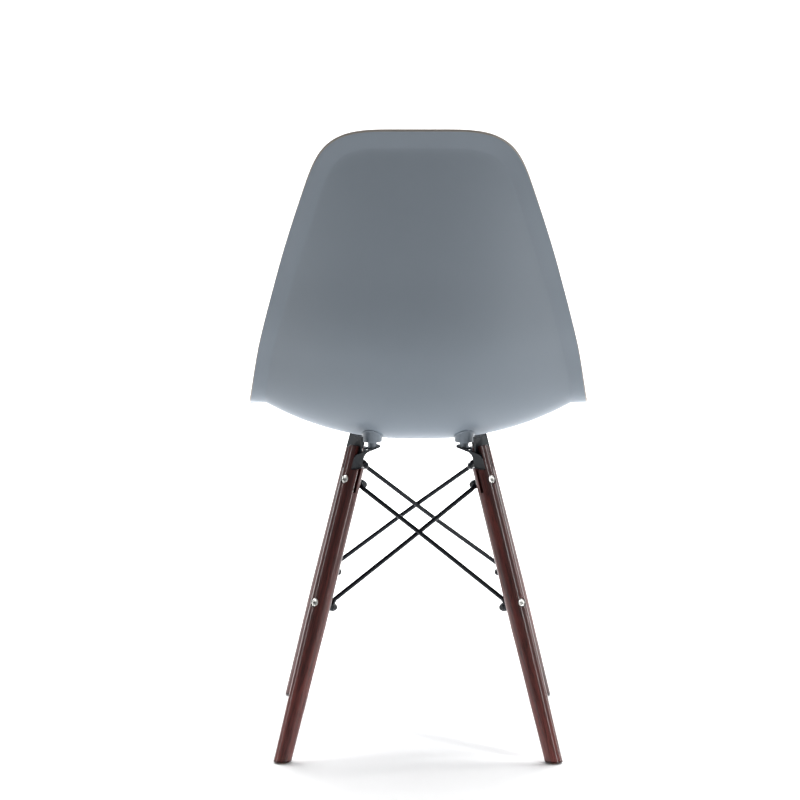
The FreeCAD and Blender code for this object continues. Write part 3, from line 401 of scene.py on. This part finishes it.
def seat_boss(name, x, y, material):
    """A turned boss: bored face, small outer radius, straight wall, and a quarter-circle fillet that
    meets the underside all round, wherever that lies."""
    around = 72
    turn = np.arange(around) * 2 * np.pi / around
    bore_depth = 8.3
    bore_chamfer = 0.4
    # how far the fillet and the boss's hidden top run on into the wall above
    overlap, buried = 0.3, 2.0
    corner = BOSS_CORNER
    rounds = np.radians(np.linspace(0, 90, 7))
    low = [(0.0, BOSS_FACE + bore_depth), (INSERT_RADIUS, BOSS_FACE + bore_depth),
           (INSERT_RADIUS, BOSS_FACE + bore_chamfer), (INSERT_RADIUS + bore_chamfer, BOSS_FACE)]
    low += [(BOSS_RADIUS - corner + corner * np.sin(a), BOSS_FACE + corner - corner * np.cos(a))
            for a in rounds]
    rings = [np.stack([x + r * np.cos(turn), y + r * np.sin(turn), np.full(around, z)], -1)
             for r, z in low[1:]]
    skirt = [BOSS_RADIUS + BOSS_FILLET * (1 - np.cos(a)) for a in rounds]
    for radius, a in zip(skirt, rounds):
        place_x, place_y = x + radius * np.cos(turn), y + radius * np.sin(turn)
        height = underside_height(place_x, place_y) + overlap - BOSS_FILLET * (1 - np.sin(a))
        rings.append(np.stack([place_x, place_y, np.maximum(height, BOSS_FACE + corner)], -1))
    radius = skirt[-1] - 0.5
    place_x, place_y = x + radius * np.cos(turn), y + radius * np.sin(turn)
    rings.append(np.stack([place_x, place_y, underside_height(place_x, place_y) + buried], -1))
    middle_height = float(underside_height(np.array([x]), np.array([y]))[0])
    top = np.array([[x, y, middle_height + buried]])
    floor = np.array([[x, y, BOSS_FACE + bore_depth]])
    points = np.concatenate([np.array(rings).reshape(-1, 3), floor, top])
    count = len(rings) * around
    step = np.arange(around)
    beside = (step + 1) % around
    last = (len(rings) - 1) * around
    faces = tube_faces(len(rings), around).tolist()
    faces += np.stack([np.full(around, count), beside, step], -1).tolist()
    faces += np.stack([np.full(around, count + 1), last + step, last + beside], -1).tolist()
    return mesh_object(name, points, faces, material, SHARP_TURNED)


def merged_copy(name, node, material):
    """The node's own shape as one joined mesh, smooth on its round faces and sharp at its edges."""
    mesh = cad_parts[node].data.copy()
    mesh.name = name
    work = bmesh.new()
    work.from_mesh(mesh)
    bmesh.ops.remove_doubles(work, verts=work.verts, dist=SAME_PLACE * MM)
    work.to_mesh(mesh)
    work.free()
    mesh.materials.clear()
    mesh.materials.append(material)
    mesh.shade_smooth()
    mesh.set_sharp_from_angle(angle=SHARP_COPIED)
    piece = bpy.data.objects.new(name, mesh)
    bpy.context.scene.collection.objects.link(piece)
    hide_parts(node)
    return piece


def corner_axes(corner):
    """A corner's foot place, then its directions up the leg's axis, out along the bolts and round."""
    turn = math.radians(CORNERS[corner])
    outward = np.array([math.cos(turn), math.sin(turn), 0.0])
    around = np.array([-math.sin(turn), math.cos(turn), 0.0])
    upward = np.array([0.0, 0.0, 1.0])
    foot = np.array([0.0, BASE_SETBACK, 0.0]) + outward * FOOT_REACH
    along = upward * math.cos(LEG_LEAN) - outward * math.sin(LEG_LEAN)
    bolt = outward * math.cos(LEG_LEAN) + upward * math.sin(LEG_LEAN)
    return foot, along, bolt, around


def mark_leg_place(piece, corner, shift):
    """Stores each point's place in the leg's own directions, in metres, so the grain follows the leg."""
    foot, along, bolt, around = corner_axes(corner)
    count = len(piece.data.vertices)
    points = np.zeros(count * 3, np.float32)
    piece.data.vertices.foreach_get("co", points)
    from_foot = points.reshape(-1, 3) - foot * MM
    place = np.stack([from_foot @ bolt + shift, from_foot @ around, from_foot @ along + shift], -1)
    marks = piece.data.attributes.new("leg_place", "FLOAT_VECTOR", "POINT")
    marks.data.foreach_set("vector", place.astype(np.float32).ravel())


def even_turned_surface(piece, corner):
    """Gives the leg's round surface the normals of the turning: straight out from its axis."""
    foot, along, _, _ = corner_axes(corner)
    mesh = piece.data
    points = np.zeros(len(mesh.vertices) * 3, np.float32)
    mesh.vertices.foreach_get("co", points)
    from_foot = points.reshape(-1, 3) - foot * MM
    radial = from_foot - np.outer(from_foot @ along, along)
    radial /= np.maximum(np.linalg.norm(radial, axis=1, keepdims=True), MM)
    corner_count = len(mesh.loops)
    vertex_of = np.zeros(corner_count, np.int32)
    mesh.loops.foreach_get("vertex_index", vertex_of)
    normals = np.zeros(corner_count * 3, np.float32)
    mesh.corner_normals.foreach_get("vector", normals)
    normals = normals.reshape(-1, 3)
    sides = np.zeros(len(mesh.polygons), np.int32)
    mesh.polygons.foreach_get("loop_total", sides)
    facing = np.zeros(len(mesh.polygons) * 3, np.float32)
    mesh.polygons.foreach_get("normal", facing)
    facing = np.repeat(facing.reshape(-1, 3), sides, axis=0)
    outward = radial[vertex_of]
    turned = np.sum(facing * outward, axis=1) > TURNED_FACING
    normals[turned] = outward[turned]
    mesh.normals_split_custom_set(normals.tolist())


def bolt_frame(corner, along_leg):
    """A bolt's centre on the leg's axis and its directions: down the leg, round the base, outward."""
    foot, along, bolt, around = corner_axes(corner)
    return foot + along * along_leg, np.stack([-along, around, bolt])


def bent_path(places, radii, spacing=0.7):
    """Points along straight runs through places, each corner rounded by an arc of its radius."""
    pieces = []
    start = places[0]
    for before, corner, after, radius in zip(places, places[1:], places[2:], radii):
        inward = (before - corner) / np.linalg.norm(before - corner)
        outward = (after - corner) / np.linalg.norm(after - corner)
        half_turn = (math.pi - math.acos(np.clip(inward @ outward, -1, 1))) / 2
        reach = radius * math.tan(half_turn)
        first, last = corner + inward * reach, corner + outward * reach
        bisector = (inward + outward) / np.linalg.norm(inward + outward)
        centre = corner + bisector * radius / math.cos(half_turn)
        steps = max(2, int(np.linalg.norm(first - start) / (spacing * 4)))
        pieces.append(start + (first - start) * np.linspace(0, 1, steps, endpoint=False)[:, None])
        sweep = np.linspace(-half_turn, half_turn, max(6, int(2 * half_turn * radius / spacing)))
        side = (outward - inward) / np.linalg.norm(outward - inward)
        pieces.append(centre - bisector * radius * np.cos(sweep)[:-1, None]
                      + side * radius * np.sin(sweep)[:-1, None])
        start = last
    steps = max(2, int(np.linalg.norm(places[-1] - start) / (spacing * 4)))
    pieces.append(start + (places[-1] - start) * np.linspace(0, 1, steps)[:, None])
    return np.concatenate(pieces)


def ease(low, high, value):
    """Runs from 0 to 1 between two values, level at both ends."""
    share = np.clip((value - low) / (high - low), 0, 1)
    return share * share * (3 - 2 * share)


def eyelet_points(centre, axes, near, sections=64):
    """A washer-shaped rod end: a rounded rectangle carried round the bolt's line."""
    turn = np.arange(sections) * 2 * np.pi / sections
    inner, outer, edge = EYELET_HOLE, EYELET_RADIUS, 0.35
    low, high = near - EYELET_THICKNESS, near
    profile = [(inner, low + edge), (inner + edge, low), (outer - edge, low), (outer, low + edge),
               (outer, high - edge), (outer - edge, high), (inner + edge, high), (inner, high - edge)]
    rings = [centre + (axes[0] * np.cos(turn)[:, None] + axes[1] * np.sin(turn)[:, None]) * radius
             + axes[2] * depth for radius, depth in profile]
    return np.concatenate(rings), tube_faces(len(profile), sections, closed_along=True)


def brace_rod(name, top, low, layer, bow, material):
    """A rod swept round along its bent path. Near each bolt its round section is pressed flat: the
    half thickness falls and the half width grows with the distance left, and the leg side stays level."""
    face = -LEG_RADIUS - layer * EYELET_THICKNESS
    depth = face - ROD_RADIUS
    across = 1 if layer == 0 else -1
    near = EYELET_HOLE + 0.2
    top_centre, top_axes = bolt_frame(top, UPPER_BOLT_ALONG)
    low_centre, low_axes = bolt_frame(low, LOWER_BOLT_ALONG)
    low_way = (-low_axes[0] * math.cos(LOWER_TAIL_TURN)
               - low_axes[1] * across * math.sin(LOWER_TAIL_TURN))
    last_bend = low_centre + low_way * LOWER_TAIL + low_axes[2] * depth
    top_way = last_bend - top_centre
    top_way -= top_axes[2] * (top_way @ top_axes[2])
    top_way /= np.linalg.norm(top_way)
    first_bend = top_centre + top_way * UPPER_TAIL + top_axes[2] * depth
    start = top_centre + top_way * near + top_axes[2] * depth
    finish = low_centre + low_way * near + low_axes[2] * depth
    outward = top_axes[2] + low_axes[2]
    outward /= np.linalg.norm(outward)
    middle = (first_bend + last_bend) / 2 + outward * bow
    gentle = np.linalg.norm(first_bend - last_bend) * GENTLE_BEND
    path = bent_path([start, first_bend, middle, last_bend, finish],
                     [ROD_BEND_RADIUS, gentle, ROD_BEND_RADIUS])
    steps = np.linalg.norm(np.diff(path, axis=0), axis=1)
    travelled = np.concatenate([[0], np.cumsum(steps)])
    from_end = np.minimum(travelled, travelled[-1] - travelled) + near
    tangent = np.gradient(path, axis=0)
    tangent /= np.linalg.norm(tangent, axis=1, keepdims=True)
    share = (travelled / travelled[-1])[:, None]
    normal = top_axes[2] * (1 - share) + low_axes[2] * share
    normal -= tangent * np.sum(normal * tangent, 1, keepdims=True)
    normal /= np.linalg.norm(normal, axis=1, keepdims=True)
    beside = np.cross(tangent, normal)
    round_from = UPPER_TAIL - 2.0
    flat = 1 - ease(EYELET_RADIUS, round_from, from_end)
    thick = ROD_RADIUS + (EYELET_THICKNESS / 2 - ROD_RADIUS) * flat
    widened = 1 - ease(near, round_from, from_end)
    wide = ROD_RADIUS + (PRESSED_HALF_WIDTH - ROD_RADIUS) * widened
    power = 2 + PRESSED_SQUARENESS * flat
    sections = 28
    turn = np.arange(sections) * 2 * np.pi / sections
    cosine, sine = np.cos(turn)[None, :], np.sin(turn)[None, :]
    round_x = np.sign(cosine) * np.abs(cosine) ** (2 / power[:, None]) * wide[:, None]
    round_y = np.sign(sine) * np.abs(sine) ** (2 / power[:, None]) * thick[:, None]
    centre_line = path + normal * (ROD_RADIUS - thick)[:, None]
    points = (centre_line[:, None, :] + beside[:, None, :] * round_x[..., None]
              + normal[:, None, :] * round_y[..., None])
    rod_points = points.reshape(-1, 3)
    rod_faces = tube_faces(len(path), sections)[:, ::-1].tolist()
    rod_faces.append(list(range(sections)))
    rod_faces.append([len(rod_points) - 1 - k for k in range(sections)])
    all_points, all_faces = [rod_points], rod_faces
    offset = len(rod_points)
    for centre, axes in ((top_centre, top_axes), (low_centre, low_axes)):
        ring_points, ring_faces = eyelet_points(centre, axes, face)
        all_points.append(ring_points)
        all_faces += (ring_faces + offset).tolist()
        offset += len(ring_points)
    piece = mesh_object(name, np.concatenate(all_points), all_faces, material, SHARP_TURNED)
    work = bmesh.new()
    work.from_mesh(piece.data)
    bmesh.ops.recalc_face_normals(work, faces=work.faces)
    work.to_mesh(piece.data)
    work.free()
    return piece


seat_finish = moulded_polypropylene()
leg_finish = stained_hardwood()
bracket_finish = grained_finish("powder_coated_steel", "#0A0F14", "#0F151B", 1.6, 0.1,
                                Roughness=0.36, IOR=1.33)
rod_finish = grained_finish("powder_coated_rod", "#05080D", "#090D13", 1.6, 0.05,
                            Roughness=0.26, IOR=1.36)
bolt_finish = grained_finish("zinc_plated_steel", "#BDBDBA", "#D6D5D1", 0.8, 0.04,
                             Metallic=1.0, Roughness=0.3)
nut_finish = grained_finish("black_zinc_steel", "#07090D", "#0C0F14", 0.8, 0.05,
                            Roughness=0.3, IOR=1.38)
spacer_finish = grained_finish("moulded_nylon_grey", "#4E555C", "#535A61", 1.0, 0.05,
                               Roughness=0.5, IOR=1.53)
brass_finish = grained_finish("turned_brass", "#B08D4F", "#C4A463", 0.8, 0.05,
                              Metallic=1.0, Roughness=0.35)
glide_finish = grained_finish("moulded_nylon_natural", "#E6CFB2", "#EDD8BD", 1.5, 0.05,
                              Roughness=0.5, IOR=1.53)

pieces = []


def keep(piece):
    """Puts a finished piece on the chair's one body."""
    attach(piece, "root")
    pieces.append(piece)


shell = seat_shell(seat_finish)
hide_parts("seat_shell")
keep(shell)
half_mount = MOUNT_SPACING / 2
for corner, (side, way) in {"rear_left": (1, 1), "rear_right": (-1, 1),
                            "front_right": (-1, -1), "front_left": (1, -1)}.items():
    boss = seat_boss(f"seat_boss_{corner}", side * half_mount, BASE_SETBACK + way * half_mount,
                     seat_finish)
    keep(boss)

for number, corner in enumerate(CORNERS):
    leg = merged_copy(f"turned_leg_{corner}", f"leg_{corner}", leg_finish)
    mark_leg_place(leg, corner, 0.37 * number)
    even_turned_surface(leg, corner)
    keep(leg)
    keep(merged_copy(f"bracket_{corner}", f"leg_bracket_{corner}", bracket_finish))
    keep(merged_copy(f"glide_{corner}", f"foot_glide_{corner}", glide_finish))

corner_names = list(CORNERS)
for number, side in enumerate(("rear", "right", "front", "left")):
    here, following = corner_names[number], corner_names[(number + 1) % 4]
    for layer, (name, top, low, bow) in enumerate((
        (f"brace_rod_{side}_outer", here, following, ROD_BOW),
        (f"brace_rod_{side}_inner", following, here, -ROD_BOW),
    )):
        rod = brace_rod(f"pressed_{name}", top, low, layer, bow, rod_finish)
        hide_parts(name)
        keep(rod)

for node, finish, slot in (
    ("upper_leg_bolts", bolt_finish, "bolt_zinc"), ("lower_leg_bolts", bolt_finish, "bolt_zinc"),
    ("upper_cap_nuts", nut_finish, "nut_black"), ("lower_cap_nuts", nut_finish, "nut_black"),
    ("nut_washers", nut_finish, "washer_black"), ("mount_spacers", spacer_finish, "spacer_plastic"),
    ("threaded_inserts", brass_finish, "insert_brass"),
    ("mount_screws", nut_finish, "screw_black"),
):
    keep(merged_copy(f"{node}_finished", node, finish))


def studio_floor():
    """A pale floor that runs up into a backdrop behind the chair in a wide curve."""
    half_width, front, back, radius, height = 9000.0, 9000.0, -5000.0, 2500.0, 9000.0
    turn = np.radians(np.linspace(0, 90, 25))
    line = [(front, 0.0)]
    line += [(back - radius * math.sin(a), radius * (1 - math.cos(a))) for a in turn]
    line.append((back - radius, height))
    line = np.array(line)
    points = np.concatenate([
        np.stack([np.full(len(line), x), line[:, 0], line[:, 1]], -1)
        for x in (-half_width, half_width)])
    count = len(line)
    step = np.arange(count - 1)
    faces = np.stack([step, step + count, step + count + 1, step + 1], -1)
    material = new_material("pale_backdrop_paper")
    place = add_node(material, "ShaderNodeTexCoord").outputs["Object"]
    fibre = add_node(material, "ShaderNodeTexNoise", {"Scale": per_mm(40), "Detail": 3.0},
                     {"Vector": place})
    colour = add_node(material, "ShaderNodeMix", {MIX_A: linear("#F8F8F8"), MIX_B: linear("#FAFAFA")},
                      {MIX_FACTOR: fibre.outputs["Fac"]}, data_type="RGBA")
    shader = add_node(material, "ShaderNodeBsdfPrincipled",
                      {"Roughness": 0.9, "Specular IOR Level": 0.1},
                      {"Base Color": colour.outputs[MIX_RESULT]})
    add_node(material, "ShaderNodeOutputMaterial", links={"Surface": shader.outputs["BSDF"]})
    floor = mesh_object("studio_floor", points, faces, material)
    floor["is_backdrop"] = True


def area_light(name, place, target, size, power):
    """A soft box at a place, aimed at a target, in metres and watts."""
    light = bpy.data.lights.new(name, "AREA")
    light.shape = "RECTANGLE"
    light.size, light.size_y = size
    light.energy = power
    lamp = bpy.data.objects.new(name, light)
    bpy.context.scene.collection.objects.link(lamp)
    back = np.array(place, float) - np.array(target, float)
    lamp.rotation_mode = "QUATERNION"
    lamp.rotation_quaternion = Vector(back).to_track_quat("Z", "Y")
    lamp.location = place
    lamp.visible_camera = False
    return lamp


studio_floor()
area_light("overhead_softbox", (0.0, -2.5, 3.6), (0, -1.4, 0), (5.0, 4.0), 560)
area_light("backdrop_wash", (0.0, -3.2, 4.4), (0, -7.4, 4.6), (7.0, 3.0), 420)
area_light("key_strip", (-2.3, 1.9, 1.3), (0, 0.2, 0.5), (0.2, 2.4), 42)
area_light("side_strip", (-3.0, -0.6, 1.1), (0, 0.2, 0.5), (0.2, 2.4), 32)
area_light("left_strip", (3.0, 0.5, 1.3), (0, 0.2, 0.5), (0.12, 2.6), 30)
# light that the pale floor throws back up under the seat
bounce = area_light("floor_bounce", (0.0, 0.0, 0.004), (0, 0.0, 1.0), (0.9, 0.9), 15)
bounce.visible_glossy = False

world = bpy.data.worlds.new("studio_air")
bpy.context.scene.world = world
world.use_nodes = True
background = world.node_tree.nodes["Background"]
background.inputs["Color"].default_value = (1, 1, 1, 1)
background.inputs["Strength"].default_value = 0.12

# The camera stands behind the chair, a little above it, as the photograph's does.
CAMERA_PLACE = (5.13, 4014.07, 1054.89)
CAMERA_YAW = -0.0049
CAMERA_PITCH = 0.1526
FOCAL_PIXELS = 2973.26
IMAGE_PIXELS = 800
SENSOR = 36.0

camera = bpy.data.cameras.new("camera")
camera.sensor_width = SENSOR
camera.lens = FOCAL_PIXELS / IMAGE_PIXELS * SENSOR
camera.clip_start, camera.clip_end = 0.1, 100
viewer = bpy.data.objects.new("camera", camera)
bpy.context.scene.collection.objects.link(viewer)
viewer.location = [value * MM for value in CAMERA_PLACE]
viewer.rotation_euler = (math.pi / 2 - CAMERA_PITCH, 0, math.pi - CAMERA_YAW)
bpy.context.scene.camera = viewer
bpy.context.scene.view_settings.view_transform = "Standard"

low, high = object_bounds()
